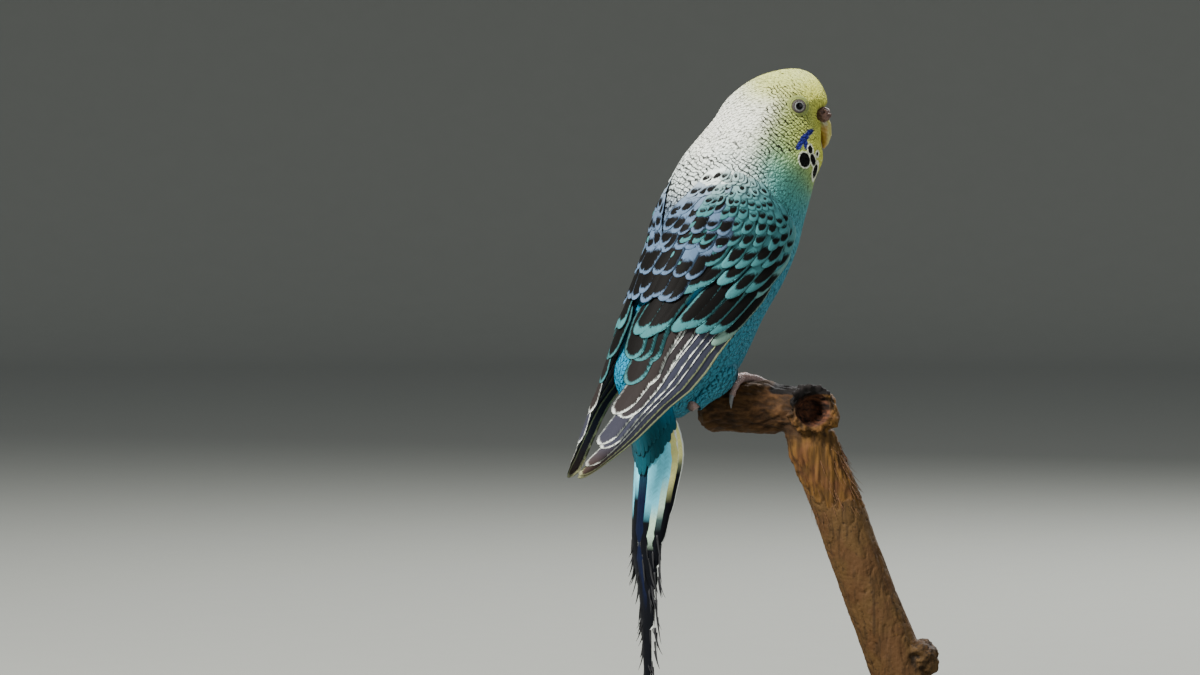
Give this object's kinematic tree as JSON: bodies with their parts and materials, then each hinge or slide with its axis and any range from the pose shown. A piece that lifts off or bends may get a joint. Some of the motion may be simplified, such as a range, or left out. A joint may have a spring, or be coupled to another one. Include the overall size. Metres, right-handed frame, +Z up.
{
  "type": "budgerigar",
  "caption": "Still life-size budgerigar with folded wings and a long hanging tail, gripping a cut branch on a plain round display stand.",
  "frame": {"origin": "centre of the flat underside of the round stand base", "axes": "+Z up, +X the way the bird's body faces, +Y to the bird's left"},
  "size_m": [0.1198, 0.112, 0.2092],
  "materials": {
    "face_feathers": "soft matt plumage, pale yellow with fine dark bars",
    "nape_feathers": "soft matt plumage, white to pale yellow with dark scallops",
    "body_feathers": "soft matt plumage, teal blue",
    "wing_feathers": "matt vanes, black-brown centres and pale teal edges",
    "tail_feathers": "matt vanes, teal and navy with a yellow band",
    "foot_scales": "matt scaly skin, greyish pink",
    "claw_horn": "satin horn, blue grey",
    "beak_horn": "satin horn, olive yellow",
    "cere_skin": "matt waxy skin, brown",
    "eye_gloss": "wet gloss, black pupil in a pale grey ring",
    "branch_wood": "weathered bark and bare ochre wood",
    "stand_wood": "dark satin lacquered wood",
    "stand_steel": "brushed steel"
  },
  "bodies": {
    "root": {"beak_lower": "beak_horn", "beak_upper": "beak_horn", "cere": "cere_skin", "claw_left_inner_back": "claw_horn", "claw_left_inner_front": "claw_horn", "claw_left_outer_back": "claw_horn", "claw_left_outer_front": "claw_horn", "claw_right_inner_back": "claw_horn", "claw_right_inner_front": "claw_horn", "claw_right_outer_back": "claw_horn", "claw_right_outer_front": "claw_horn", "eye_left": "eye_gloss", "eye_right": "eye_gloss", "foot_left": "foot_scales", "foot_right": "foot_scales", "head": "face_feathers", "leg_left": "body_feathers", "leg_right": "body_feathers", "neck": "nape_feathers", "perch": "branch_wood", "stand_base": "stand_wood", "stand_rod": "stand_steel", "tail": "tail_feathers", "torso": "body_feathers", "wing_left": "wing_feathers", "wing_right": "wing_feathers"}
  },
  "joints": []
}
